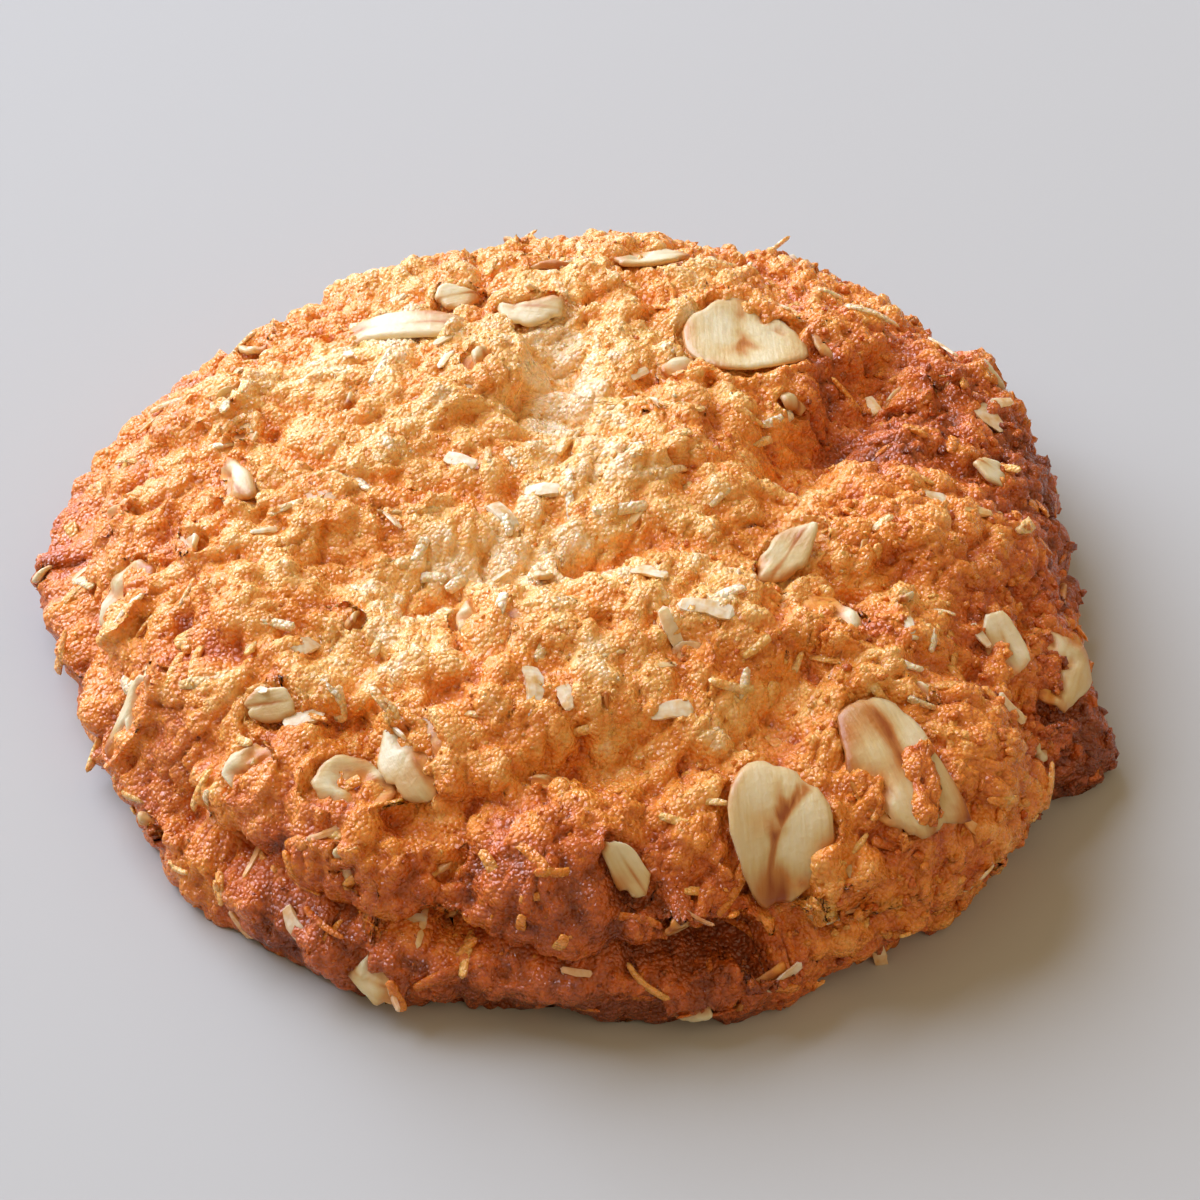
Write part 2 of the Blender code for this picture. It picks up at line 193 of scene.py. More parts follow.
# %% Lumps, folds and cobbles
LUMPS = (
    (147, 0.25, 7.5, 1.5),
    (70, 0.35, 7.5, 1.1),
    (-11, 0.19, 7.0, 1.4),
    (-16, 0.53, 6.0, 1.6),
    (-148, 0.57, 8.0, 1.3),
    (-105, 0.45, 5.0, 1.0),
    (-75, 0.32, 5.0, 0.9),
    (-56, 0.45, 5.0, 1.4),
    (-38, 0.56, 4.5, 1.2),
    (-90, 0.49, 3.8, 1.4),
    (-89, 0.72, 4.6, 2.4),
    (-115, 0.73, 6.0, 1.4),
    (-51, 0.76, 6.0, 1.6),
    (-40, 0.74, 3.6, 1.4),
    (-24, 0.96, 4.2, 4.2),
    (25, 0.68, 5.0, 1.0),
    (-176, 0.75, 5.0, 0.6),
    (112, 0.62, 6.0, 0.4),
)
FOLDS = (
    ((101, 0.09), (90, 0.29), 2.4, 2.2),
    ((67, 0.31), (48, 0.38), 2.0, 1.0),
    ((24, 0.54), (-3, 0.35), 2.6, 2.6),
    ((-127, 0.29), (-75, 0.22), 2.4, 1.6),
    ((-145, 0.41), (-121, 0.35), 2.2, 1.4),
    ((-133, 0.50), (-118, 0.53), 2.0, 1.4),
    ((-54, 0.52), (-63, 0.54), 2.2, 1.8),
    ((-118, 0.61), (-106, 0.66), 2.0, 1.8),
    ((-89, 0.57), (-81, 0.55), 1.9, 1.9),
    ((-38, 0.42), (-26, 0.54), 2.0, 1.4),
    ((-17, 0.74), (-29, 0.76), 2.0, 1.5),
    ((-30, 0.84), (-29, 0.97), 1.8, 2.0),
    ((-103, 0.70), (-100, 0.82), 1.8, 1.3),
)
COBBLES = ((5.2, 1.2), (2.7, 0.85))
WARP_SIZE, WARP = 6.0, 1.3


def distance_to_run(points, start, end):
    """Distance from each point to the straight run between two others."""
    run = end - start
    share = np.clip((points - start) @ run / max(run @ run, 1e-9), 0, 1)
    return np.linalg.norm(points - start - share[:, None] * run, axis=1)


def bent(points):
    """The points moved by waves, so that cells read there lose their even spacing."""
    return points + WARP * np.stack([waves(points, WARP_SIZE, SEED + axis) for axis in range(3)], 1)


def folded(points):
    """How deep the folds go at each point."""
    depth = np.zeros(len(points))
    for start, end, width, deep in FOLDS:
        depth += deep * np.exp(-((distance_to_run(points, place(*start), place(*end)) / width) ** 2))
    return depth


def cobbled(points):
    """Rounded cells at two sizes: above nought on a cobble, below it in the gap round one."""
    return sum(
        height * (0.45 - 1.3 * two_cells(bent(points), size, SEED)[0] ** 2) for size, height in COBBLES
    )


def relief(points):
    """How far the crust stands out of the smooth form: cobbles and lumps, less folds."""
    out = cobbled(points) - folded(points)
    for direction, reach, radius, height in LUMPS:
        away = np.linalg.norm(points - place(direction, reach), axis=1)
        out += height * np.exp(-((away / radius) ** 2))
    return out


print("lumps:", len(LUMPS), "folds:", len(FOLDS))

# %% [markdown]
# ## A grid wrapped round the biscuit
# A square grid can be squeezed onto a disc ring by ring, so its corners land on the rim and its
# cells stay nearly equal. The disc is then pulled over the mound and tucked under it, which
# leaves only the flat middle of the underside open. One flat face closes that. Poles and seams
# never show, because there are none.

# %% The grid
CELLS = 300  # along each side: about a quarter of a millimetre on the crust
OVER = 0.93  # share of the rings that lie above the foot; the rest turn under it


def disc(square):
    """Angle and ring of each point of the square from -1 to 1, each square ring made round."""
    x, y = square.T
    ring = np.maximum(abs(x), abs(y))
    safe = np.where(ring > 0, ring, 1)
    wide = abs(x) >= abs(y)
    turn = np.where(wide, y / safe * np.sign(x), 2 * np.sign(y) - x / safe * np.sign(y)) * math.pi / 4
    return turn + np.where(wide & (x < 0), math.pi, 0), ring


def grid_faces(count):
    """Four-cornered faces of a square grid, and the loop round its edge that closes it below."""
    index = np.arange((count + 1) ** 2).reshape(count + 1, count + 1)
    quads = np.stack([index[:-1, :-1], index[1:, :-1], index[1:, 1:], index[:-1, 1:]], -1).reshape(-1, 4)
    rim = np.concatenate([index[0, :-1], index[:-1, -1], index[-1, :0:-1], index[:0:-1, 0]])
    return quads, rim


side = np.linspace(-1, 1, CELLS + 1)
angle, ring = disc(np.stack(np.meshgrid(side, side, indexing="ij"), -1).reshape(-1, 2))
reach = ring / OVER
quads, rim = grid_faces(CELLS)
under = np.clip((reach - 1) / (1 / OVER - 1), 0, 1)
crust = form(angle, np.minimum(reach, 1))
crust *= np.stack([1 - 0.4 * under, 1 - 0.4 * under, np.ones_like(under)], 1)
print("grid points:", len(crust), "quads:", len(quads))

# %% Pushing a surface along its normals
def normals_of(points):
    """Unit normals of the wrapped grid: the cross product of its two directions of travel."""
    rows = points.reshape(CELLS + 1, CELLS + 1, 3)
    normal = np.cross(np.gradient(rows, axis=0), np.gradient(rows, axis=1)).reshape(-1, 3)
    return normal / np.maximum(np.linalg.norm(normal, axis=1, keepdims=True), 1e-12)


def push(points, distance):
    """The points moved along their normals, but not under the foot and never below the tray."""
    fade = np.clip(1 - under * 6, 0, 1)
    moved = points + normals_of(points) * (distance * fade)[:, None]
    moved[:, 2] = np.where(under > 0, 0, np.maximum(moved[:, 2], 0))
    return moved


smooth = crust.copy()
crust = push(smooth, relief(smooth))
print("highest point, mm:", crust[:, 2].max().round(1))

# %% [markdown]
# ## Closed little shapes
# Flakes, shreds and crumbs are all balls in disguise: two poles with rings of points between.
# One list of faces serves every ball with the same rings. Hundreds of copies go into one mesh,
# which Blender handles far better than hundreds of objects.

# %% Closed little shapes
def ball_faces(rings, around):
    """Faces of a ball whose points are a pole, then the rings, then the other pole."""
    index = 1 + np.arange(rings * around).reshape(rings, around)
    turned = np.roll(index, -1, axis=1)
    last = rings * around + 1
    cap = np.stack([np.zeros(around, int), index[0], turned[0]], 1)
    base = np.stack([np.full(around, last), turned[-1], index[-1]], 1)
    bands = np.stack([index[:-1], index[1:], turned[1:], turned[:-1]], -1).reshape(-1, 4)
    return cap.tolist() + base.tolist() + bands.tolist()


def copies_of(faces, points_each, copies):
    """The same faces again for each copy, numbered on."""
    return [[corner + copy * points_each for corner in face] for copy in range(copies) for face in faces]


print("a ball of 3 rings of 7 has", len(ball_faces(3, 7)), "faces")

# %% Putting a surface into Blender
def add_piece(name, points, faces, finish, floats=None, flat_map=None):
    """A mesh object from points in mm, with its finish, its values per point and its flat map."""
    mesh = bpy.data.meshes.new(name)
    mesh.from_pydata(points * MM, [], faces)
    mesh.shade_smooth()
    mesh.materials.append(finish)
    for key, values in (floats or {}).items():
        mesh.attributes.new(key, "FLOAT", "POINT").data.foreach_set("value", values.astype(np.float32))
    if flat_map is not None:
        corners = np.empty(len(mesh.loops), np.int32)
        mesh.loops.foreach_get("vertex_index", corners)
        flat = flat_map[corners].astype(np.float32).ravel()
        mesh.uv_layers.new(name="UVMap").uv.foreach_set("vector", flat)
    piece = bpy.data.objects.new(name, mesh)
    bpy.context.scene.collection.objects.link(piece)
    return piece


def part_of_biscuit(piece):
    """The piece rides on the biscuit, whose own solid is hidden."""
    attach(piece, "root")
    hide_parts("biscuit")
    print(piece.name, "has", sum(len(face.vertices) - 2 for face in piece.data.polygons), "triangles")


# %% [markdown]
# ## Where the oats lie
# Rolled oats are steamed and flattened groats, 6 to 11 mm long. In the oven some come to lie bare
# on the crust, some are half swallowed and show an edge. Each is given by the places of its two
# ends, its width, how far it leans on its long side, how much of it the dough has covered, and
# from which side the dough crept over it (0 from its far end, 90 from its left).
# A few more are scattered by the golden angle, which spreads points evenly round a disc.

# %% Where the oats lie
OATS = (
    ((-62, 0.60), (-67, 0.80), 6.5, 0, 0.12, 40),
    ((-48, 0.60), (-52, 0.82), 5.3, 0, 0.14, -70),
    ((33, 0.33), (54, 0.47), 8.0, 0, 0.16, -30),
    ((138, 0.56), (113, 0.36), 2.5, -25, 0.25, 180),
    ((-43, 0.37), (-23, 0.38), 3.0, 0, 0.14, 180),
    ((-164, 0.83), (-167, 0.70), 5.0, 15, 0.66, -90),
    ((-149, 0.87), (-148, 0.71), 3.5, 15, 0.45, -90),
    ((-134, 0.65), (-128, 0.59), 2.4, 0, 0.12, 0),
    ((-119, 0.73), (-111, 0.63), 4.6, 10, 0.52, -90),
    ((-129, 0.77), (-125, 0.68), 3.8, 0, 0.62, -60),
    ((-114, 0.54), (-104, 0.64), 4.6, 20, 0.52, 90),
    ((-85, 0.67), (-81, 0.75), 2.4, 0, 0.22, 180),
    ((-79, 0.77), (-74, 0.83), 2.6, 20, 0.50, 90),
    ((-22, 0.65), (-27, 0.73), 3.0, 45, 0.25, 0),
    ((-14, 0.83), (-27, 0.80), 4.5, 30, 0.50, -90),
    ((-17, 0.93), (-28, 0.96), 5.0, 70, 0.20, 0),
    ((176, 0.55), (-168, 0.51), 2.8, 20, 0.45, -90),
    ((106, 0.41), (88, 0.36), 3.4, 10, 0.35, 90),
    ((82, 0.53), (70, 0.60), 4.4, 15, 0.35, 90),
    ((116, 0.50), (106, 0.49), 2.8, 10, 0.35, 0),
    ((7, 0.63), (4, 0.70), 2.4, 20, 0.30, 0),
    ((-110, 0.88), (-104, 0.88), 2.4, 20, 0.40, 0),
)
# The three largest flakes were torn as they were stirred in: reach at sixteen even turns from the
# far end, where 1 would be an oval.
TORN = {
    0: (0.98, 0.90, 0.93, 1.02, 1.01, 1.01, 0.91, 0.91, 0.94, 1.08, 1.10, 1.05, 0.97, 0.90, 0.95, 1.08),
    1: (1.00, 1.00, 1.40, 1.05, 0.86, 0.93, 1.00, 1.02, 1.02, 1.08, 1.24, 1.20, 1.34, 1.28, 1.12, 1.08),
    2: (1.03, 0.95, 0.88, 1.00, 1.02, 1.09, 1.12, 1.10, 1.00, 0.93, 1.05, 1.13, 1.10, 0.95, 0.88, 0.87),
}
# Brown streaks along creases of a flake: which flake, three points along the crease as shares of
# half the length and half the width, its width in those shares, how brown. The broad band on the
# second flake is painted shade in its hollow.
CREASES = (
    (0, ((-0.58, 0.52), (-0.05, -0.10), (0.75, -0.28)), 0.08, 0.75),
    (0, ((0.55, -0.20), (0.75, -0.25), (0.90, -0.15)), 0.24, 0.50),
    # Painted shade: the broad band in this flake's hollow.
    (1, ((-0.70, -0.15), (-0.45, -0.05), (-0.05, 0.02)), 0.24, 0.40),
    (2, ((-0.30, -0.20), (0.00, 0.10), (0.50, 0.05)), 0.10, 0.30),
)
# Tongues of dough that ran over a flake: from, to, half width in mm.
TONGUES = (
    ((-48, 0.70), (-51, 0.79), 1.3),
    ((-63, 0.79), (-61, 0.78), 0.9),
    ((50, 0.46), (44, 0.49), 0.9),
    ((-118, 0.50), (-112, 0.55), 1.0),
)


def scattered(count, seed, least, most):
    """Directions and reaches spread by the golden angle and nudged, and four more draws for each."""
    draws = np.random.default_rng(seed).uniform(0, 1, (count, 6))
    index = np.arange(count)
    reaches = np.sqrt(least**2 + (most**2 - least**2) * (index + draws[:, 0]) / count)
    return index * 137.5 + 36 * (draws[:, 1] - 0.5), reaches, draws[:, 2:]


def strewn_oats(count, seed, shortest, longest, smear):
    """Rows like those of OATS for oats strewn over the crust, none on top of a named one."""
    rows = []
    for direction, far, (size, girth, turn, lean) in zip(*scattered(count, seed, 0.15, 0.93)):
        length = shortest + (longest - shortest) * size
        way = math.radians(direction + 360 * turn)
        middle = place(direction, far)
        step = length / 2 * np.array([math.cos(way), math.sin(way), 0])
        away = [np.linalg.norm(middle - (start + end) / 2) for start, end, *rest in named_oats]
        if min(away) > 2 + length / 2:
            width, tilt, side = length * (0.5 + 0.2 * girth), 24 * lean - 12, 360 * lean
            rows.append((middle - step, middle + step, width, tilt, smear, side))
    return rows


named_oats = [(place(*start), place(*end), *rest) for start, end, *rest in OATS]
whole_oats = list(named_oats)
whole_oats += strewn_oats(24, SEED, 5.5, 9.0, 0.92)
broken_oats = strewn_oats(60, SEED + 1, 2.0, 4.6, 0.72)
print("whole oats:", len(whole_oats), "broken oats:", len(broken_oats))

# %% [markdown]
# ## Seating a flake in the dough
# A flake bends with the dough that it was pressed into. Under it a gently curved patch is fitted
# to the crust by least squares, and the flake follows that patch. The dough below is then pressed
# flat against it and raised a little round its edge, as a thumb would do. Where dough has crept
# over the flake, or runs over it in a tongue, the crust is lifted instead and the flake sinks, so
# the border between them is as ragged as the real one. A flake that leans a lot keeps its own
# shape and just cuts into the dough.

# %% Seating a flake in the dough
PRESS_LEAN = 30  # degrees: past this a flake stands in the dough instead of lying on it
REACHED = 4  # mm: dough farther than this from a flake's sheet is another side of the biscuit
HOLLOW = 0.45  # mm from the sheet down to bare dough, and up to dough that covers the flake
LIP, LIP_AWAY, LIP_WIDTH = 0.30, 1.15, 0.12  # height in mm, and where, as shares of a half length
FLAT = np.array([1, 1, 0])  # a tongue is laid out as seen from above


def seat_frame(start, end, lean):
    """Middle, long axis, cross axis and normal of a flake that lies between two points."""
    middle = (start + end) / 2
    near = np.linalg.norm(crust - crust[np.argmin(((crust - middle) ** 2).sum(1))], axis=1) < 3
    normal = normals_of(crust)[near].mean(0)
    normal /= np.linalg.norm(normal)
    along = end - start
    along = along - along @ normal * normal
    along /= np.linalg.norm(along)
    across = np.cross(normal, along)
    tilt = math.radians(lean)
    origin = crust[near].mean(0)
    leant = math.cos(tilt) * across + math.sin(tilt) * normal
    return origin, along, leant, math.cos(tilt) * normal - math.sin(tilt) * across


def patch(x, y):
    """The terms of a gently curved sheet: level, two slopes, two bends and a twist."""
    return np.stack([np.ones_like(x), x, y, x * x / 10, y * y / 10, x * y / 10], -1)


def smeared(x, y, length, width, smear, side, seed):
    """How much dough lies over each place of a flake, 0 to 1: it creeps in from one side, raggedly."""
    way = math.radians(side)
    creep = (x * math.cos(way) / length + y * math.sin(way) / width) * 2
    flat = np.stack([x, y, np.full_like(x, 7.0 * seed)], 1)
    mess = waves(flat, 2.6, SEED + 50) + 0.5 * waves(flat, 1.0, SEED + 51)
    return np.clip((2 * smear - 1 + 0.8 * creep + 0.9 * mess) * 2.5 + 0.5, 0, 1)


def seat_oat(start, end, width, lean, smear, side, seed):
    """Frame and patch of one oat; presses the crust to it where it is bare, lifts it where it is not."""
    origin, along, across, normal = seat_frame(start, end, lean)
    length = np.linalg.norm(end - start)
    local = (crust - origin) @ np.stack([along, across, normal], 1)
    x, y, z = local.T
    away = np.hypot(x / (length / 2), y / (width / 2))
    close = abs(z) < REACHED
    fitted = (away < 1.1) & close
    if abs(lean) > PRESS_LEAN or fitted.sum() < 12:
        return origin, along, across, normal, np.zeros(6)
    sheet = np.linalg.lstsq(patch(x[fitted], y[fitted]), z[fitted], rcond=None)[0]
    sheet[3:] = np.clip(sheet[3:] * 0.8, -0.6, 0.6)
    sheet[0] += 0.10
    level = patch(x, y) @ sheet
    hold = np.clip((1.3 - away) / 0.3, 0, 1) * close
    hold = hold * hold * (3 - 2 * hold)
    cover = np.zeros_like(x)
    near = hold > 0
    cover[near] = smeared(x[near], y[near], length, width, smear, side, seed)
    dome = np.zeros_like(x)
    for root, tip, half in TONGUES:
        share = 1 - distance_to_run(crust[near] * FLAT, place(*root) * FLAT, place(*tip) * FLAT) / half
        cover[near] = np.maximum(cover[near], np.clip(share * 3 + 0.5, 0, 1))
        dome[near] = np.maximum(dome[near], 0.5 * half * np.sqrt(np.clip(share * 1.6, 0, 1)))
    bare = (level - HOLLOW - z) * (1 - cover)
    buried = np.maximum(level + HOLLOW + dome - z, 0) * cover
    lip = LIP * np.exp(-(((away - LIP_AWAY) / LIP_WIDTH) ** 2)) * close
    crust[:] = crust + ((bare + buried) * hold + lip)[:, None] * normal
    crust[:, 2] = np.maximum(crust[:, 2], 0)
    return origin, along, across, normal, sheet


oat_seats = [seat_oat(*row, index) for index, row in enumerate(whole_oats)]
broken_seats = [seat_oat(*row, index) for index, row in enumerate(broken_oats, 100)]
print("seats:", len(oat_seats) + len(broken_seats))

# %% [markdown]
# ## Crumb
# Dough that has been stirred, not kneaded, bakes into grains of one or two millimetres with pores
# and hairline cracks between them. They are pushed out along the normals of the cobbled crust, so
# that a cobble's side gets its own grains too. Some patches are rougher than others, and where
# syrup gathered, on the tops of some large lumps, the skin set smoother.

# %% Crumb
GRAINS = ((2.6, 0.60, 0.26), (1.2, 0.26, 0.14), (0.7, 0.14, 0.0))  # size, height, depth of the gap round it
PORE_SIZE, PORE_DEPTH = 2.1, 0.6
CRACK_SIZE, CRACK_DEPTH = 4.5, 0.35
GAP_SHARE, PORE_SHARE, CRACK_SHARE = 0.22, 0.16, 0.05  # how wide each is, as a share of its noise
# Direction, reach, radius in mm and how much smoother: 1 would be without grains
SYRUPY = ((147, 0.25, 7.0, 0.20), (-89, 0.72, 4.6, 0.25), (176, 0.92, 7.0, 0.30))


def crumb(points):
    """Grains as rounded cells, calmer near the tray, less pores at cell middles, less thin cracks."""
    out = np.zeros(len(points))
    for size, height, gap in GRAINS:
        nearest, second = two_cells(bent(points), size, SEED + 3)
        between = np.clip(1 - (second - nearest) / GAP_SHARE, 0, 1)
        out += height * (0.4 - 1.2 * nearest**2) - gap * between
    pore = np.clip(1 - two_cells(points, PORE_SIZE, SEED + 5)[0] / PORE_SHARE, 0, 1)
    crack = np.clip(1 - abs(waves(bent(points), CRACK_SIZE, SEED + 6)) / CRACK_SHARE, 0, 1)
    calm = 0.5 + 0.5 * np.clip((points[:, 2] - 2) / 6, 0, 1)
    calm *= 1 + 0.3 * waves(points, 8.0, SEED + 12)
    for direction, far, radius, share in SYRUPY:
        away = np.linalg.norm(points - place(direction, far), axis=1)
        calm *= 1 - share * np.exp(-((away / radius) ** 2))
    return out * calm - PORE_DEPTH * pore - CRACK_DEPTH * crack


fine = crumb(smooth)
calm_normals = normals_of(crust)
crust = push(crust, fine)
print("crumb goes", fine.min().round(2), "to", fine.max().round(2), "mm")

# %% [markdown]
# ## Colour from one function
# Every colour below is written as an sRGB hex value, the way it is picked from a swatch, and
# turned to the linear light that Blender computes with.

# %% Colour and nodes
def linear(swatch):
    """An sRGB hex swatch as linear light: divided by 12.92 when dark, else a power of 2.4."""
    channels = np.array([int(swatch[i : i + 2], 16) / 255 for i in (1, 3, 5)])
    light = np.where(channels <= 0.04045, channels / 12.92, ((channels + 0.055) / 1.055) ** 2.4)
    return (*light, 1.0)


def add_node(tree, kind, inputs=None, stops=None, **settings):
    """Adds a node, sets it, and feeds each input a value or another node's output."""
    node = tree.nodes.new("ShaderNode" + kind)
    for key, value in settings.items():
        setattr(node, key, value)
    for index, (position, swatch) in enumerate(stops or ()):
        elements = node.color_ramp.elements
        stop = elements[index] if index < len(elements) else elements.new(position)
        stop.position, stop.color = position, linear(swatch)
    for socket, value in (inputs or {}).items():
        if isinstance(value, bpy.types.NodeSocket):
            tree.links.new(value, node.inputs[socket])
        else:
            node.inputs[socket].default_value = value
    return node


def new_finish(name):
    """An empty material, ready for nodes."""
    finish = bpy.data.materials.new(name)
    finish.use_nodes = True
    finish.node_tree.nodes.clear()
    return finish


def close_finish(finish, looks):
    """Gives the material its looks through one Principled shader, and returns it."""
    shader = add_node(finish.node_tree, "BsdfPrincipled", looks)
    add_node(finish.node_tree, "OutputMaterial", {"Surface": shader.outputs[0]})
    return finish


def per_point(tree, key):
    """A value that the mesh holds for each of its points."""
    return add_node(tree, "Attribute", attribute_name=key).outputs["Fac"]


def clouds(tree, where, size, detail, roughness=0.5):
    """Noise whose clouds are about one size, with finer ones in them."""
    inputs = {"Vector": where, "Scale": 1 / size, "Detail": detail, "Roughness": roughness}
    return add_node(tree, "TexNoise", inputs)


def mottled(tree, level, noise, low, high, swatches):
    """A ramp read at a level that noise lowers or raises."""
    shift = add_node(tree, "MapRange", {"Value": noise.outputs["Fac"], "To Min": low, "To Max": high})
    tone = add_node(tree, "Math", {0: level, 1: shift.outputs["Result"]}, operation="ADD")
    return add_node(tree, "ValToRGB", {"Fac": tone.outputs[0]}, stops=swatches)


def blended(tree, share, first, second):
    """The colour of one ramp going over to that of another."""
    inputs = {"Factor": share, 6: first.outputs["Color"], 7: second.outputs["Color"]}
    return add_node(tree, "Mix", inputs, data_type="RGBA").outputs["Result"]


print("golden brown in linear light:", np.round(linear("#D9822B")[:3], 3))

# %% [markdown]
# ## Where it browned, and painted shade
# Sugar browns first where the dough is thin or stands up into the oven's air: on the rim, the
# skirt and the tops of lumps. Folds opened late and show pale dough. Pits and the gaps between
# cobbles are darkened as painted shade, and so are some patches on the right side and along the
# front skirt, where the dough lies away from the window or under the slumped mound. One number at
# each point of the crust, from 0 for pale to 1 for dark, says all of that, and the finish reads it.

# %% Where it browned, and painted shade
# Patches: direction, reach, radius in mm and amount. Those on the right side, from -24 to 22 degrees, and the
# two on the front skirt at reach 0.97 are painted shade. The rest are browned patches, and pale dough where
# the amount is below nought.
BROWNED_AND_SHADED = (
    (175, 0.95, 9.0, 0.18),
    (-140, 0.90, 9.0, 0.02),
    (-89, 0.74, 5.5, 0.16),
    (-105, 0.78, 5.0, 0.06),
    (22, 0.52, 6.0, 0.40),
    (10, 0.45, 5.0, 0.30),
    (-20, 0.52, 6.0, 0.12),
    (-10, 0.75, 7.0, 0.16),
    (12, 0.84, 9.0, 0.36),
    (-42, 0.80, 7.0, 0.06),
    (-24, 0.95, 6.0, 0.68),
    (-54, 0.45, 4.0, 0.10),
    (-80, 0.97, 9.0, 0.42),
    (-110, 0.97, 9.0, 0.34),
    (-95, 0.10, 9.0, -0.08),
    (95, 0.20, 4.0, -0.14),
    (145, 0.38, 13.0, -0.13),
    (-120, 0.42, 5.0, -0.08),
    (75, 0.45, 8.0, -0.12),
    (-95, 0.30, 6.0, -0.09),
)


def browning_and_shade(points):
    """From 0 to 1: more at the rim and on browned and painted-shade patches, less in folds, mottled by waves.
    """
    height, spread = points[:, 2], np.hypot(points[:, 0], points[:, 1])
    bake_and_shade = 0.38 + 0.16 * np.clip(spread / 34, 0, 1) ** 3 + 0.12 * np.clip(1 - height / 6, 0, 1)
    for direction, far, radius, amount in BROWNED_AND_SHADED:
        away = np.linalg.norm(points - place(direction, far), axis=1)
        bake_and_shade += amount * np.exp(-((away / radius) ** 2))
    bake_and_shade -= 0.07 * folded(points)
    bake_and_shade += 0.16 * waves(points, 7.0, SEED + 8) + 0.16 * waves(points, 2.4, SEED + 9)
    return bake_and_shade


# Painted shade: pits and the gaps between cobbles are pushed towards the dark end, so they are drawn darker.
PITS, GAPS = 0.29, 0.14  # how much darker a pit or a gap of one millimetre is than a level place
bake_and_shade = np.clip(browning_and_shade(crust) - PITS * fine - GAPS * cobbled(smooth), 0.1, 1)
print("bake:", np.percentile(bake_and_shade, [1, 25, 50, 75, 99]).round(2))

# %% [markdown]
# ## Baked dough
# The crust is dough whose sugar and butter have browned: a dull, slightly glossy skin over a
# translucent crumb. Light enters it and comes out orange half a millimetre away, so crevices glow
# instead of going grey. The butter's film is a thin coat, which gives the soft shine. Sugar and
# flour are finer than 0.3 mm. They are drawn as grains of that size, each with its own roughness,
# because finer ones would not show, and that gives the glitter.

# %% Baked dough
DOUGH_SWATCHES = ((0.0, "#FFE8C4"), (0.24, "#FDC370"), (0.48, "#F29738"), (0.74, "#CC641E"), (1.0, "#863C12"))
MOTTLE, GRAIN, FINE = 0.9 * MM, 0.30 * MM, 0.6 * MM
DRIFT_SIZE, DRIFT = 0.5 * MM, 0.14 * MM  # waves this long move the grains this far, so no row shows


def baked_dough():
    finish = new_finish("baked oat dough")
    tree = finish.node_tree
    where = add_node(tree, "TexCoord").outputs["Object"]
    speck = clouds(tree, where, MOTTLE, 3.0, 0.6)
    colour = mottled(tree, per_point(tree, "bake_and_shade"), speck, -0.27, 0.27, DOUGH_SWATCHES)
    drift = clouds(tree, where, DRIFT_SIZE, 1.0)
    drift = add_node(tree, "VectorMath", {0: drift.outputs["Color"], "Scale": DRIFT}, operation="SCALE")
    uneven = add_node(tree, "VectorMath", {0: where, 1: drift.outputs[0]}, operation="ADD").outputs[0]
    grain = add_node(tree, "TexVoronoi", {"Vector": uneven, "Scale": 1 / GRAIN}, feature="F1")
    draw = add_node(tree, "SeparateColor", {"Color": grain.outputs["Color"]}).outputs["Red"]
    rough = add_node(tree, "MapRange", {"Value": draw, "From Min": 0.3, "To Min": 0.16, "To Max": 0.62})
    fine = clouds(tree, where, FINE, 2.0, 0.6)
    bump = add_node(tree, "Bump", {"Height": fine.outputs["Fac"], "Strength": 0.6, "Distance": 0.25 * MM})
    bump = add_node(tree, "Bump", {
        "Height": grain.outputs["Distance"], "Normal": bump.outputs[0],
        "Strength": 1.0, "Distance": 0.20 * MM,
    }, invert=True)
    return close_finish(finish, {
        "Base Color": colour.outputs["Color"], "Roughness": rough.outputs["Result"],
        "Normal": bump.outputs[0], "IOR": 1.45,
        "Subsurface Weight": 0.35, "Subsurface Radius": (1.0, 0.45, 0.18), "Subsurface Scale": 0.5 * MM,
        "Coat Weight": 0.4, "Coat Roughness": 0.20, "Coat Normal": bump.outputs[0],
    })


DOUGH = baked_dough()
crust_piece = add_piece("crust", crust, quads.tolist() + [rim.tolist()], DOUGH, {"bake_and_shade": bake_and_shade})
part_of_biscuit(crust_piece)

# %% [markdown]
# ## Rolled oats
# A rolled oat is a groat steamed and crushed flat: an oval with torn edges, a groove along its
# middle, about half a millimetre thick, cream inside and tan where the bran shows. Each is a ball
# squashed between two sheets. Its rim has a few waves, straight breaks and nicks, and its length
# and width come from its seat.

# %% The shape of an oat
OAT_RINGS, OAT_AROUND = 13, 40
OAT_THICKNESS = 0.54
# Reach and height of the rings of one face
OAT_PROFILE = ((0.18, 1.0), (0.36, 1.0), (0.54, 1.0), (0.72, 1.0), (0.88, 0.92), (0.97, 0.6))


